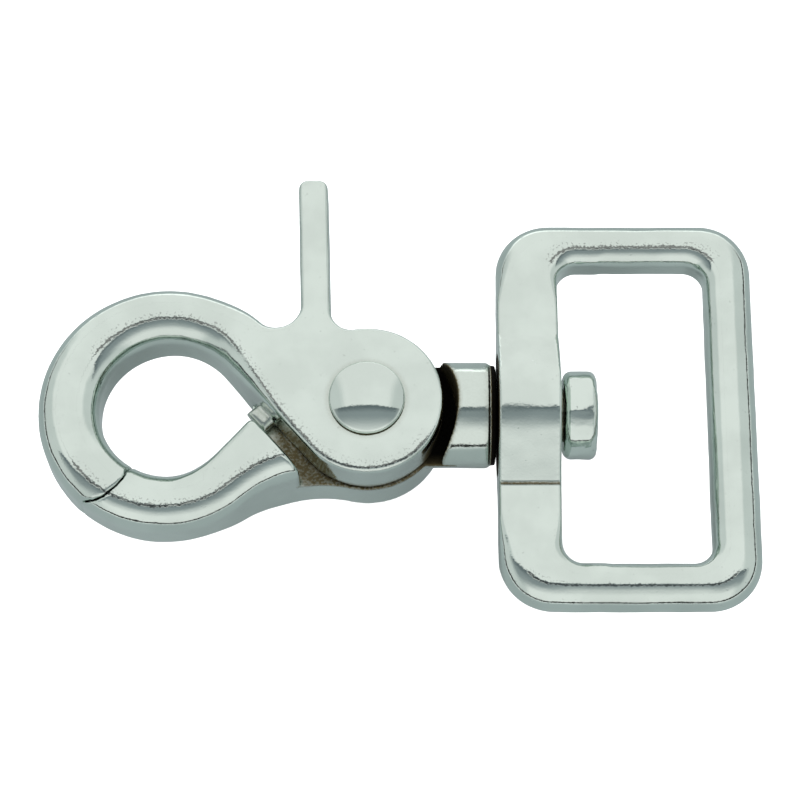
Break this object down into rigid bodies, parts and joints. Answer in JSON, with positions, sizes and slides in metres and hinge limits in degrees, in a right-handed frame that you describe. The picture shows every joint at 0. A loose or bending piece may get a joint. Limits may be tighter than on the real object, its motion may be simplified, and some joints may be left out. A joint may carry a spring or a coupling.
{
  "type": "swivel trigger snap hook",
  "caption": "Plated die-cast swivel snap hook: a trigger opens the hook's ring, and a rectangular strap eye turns on the barrel.",
  "frame": {"origin": "centre of the hook's eye, on the hook's middle plane", "axes": "+X along the swivel axis from the hook to the strap eye, +Y towards the thumb trigger, +Z square to the hook's flat, out of its front face"},
  "size_m": [0.0572, 0.0351, 0.0103],
  "materials": {
    "plated_zinc": "bright nickel plating over die-cast zinc, with fine pits and polishing marks",
    "plated_rivet": "bright nickel plating, smooth",
    "plated_pin": "bright plating with a slight yellow tint",
    "spring_steel": "drawn spring wire"
  },
  "bodies": {
    "hook_body": {"body": "plated_zinc", "pivot_rivet": "plated_rivet", "swivel_pin": "plated_pin", "torsion_spring": "spring_steel"},
    "jaw": {"trigger_jaw": "plated_zinc"},
    "loop": {"strap_loop": "plated_zinc"}
  },
  "joints": [
    {"name": "jaw_pivot", "type": "hinge", "parent": "hook_body", "child": "jaw", "pos_m": [0.01565, 0, 0], "axis": [0, 0, -1], "range_deg": [0, 30], "stiffness_Nm_per_rad": 0.12, "springref_deg": -20.05, "deforming": ["torsion_spring"]},
    {"name": "loop_swivel", "type": "hinge", "parent": "hook_body", "child": "loop", "pos_m": [0.0285, 0, 0], "axis": [1, 0, 0], "continuous": true}
  ]
}
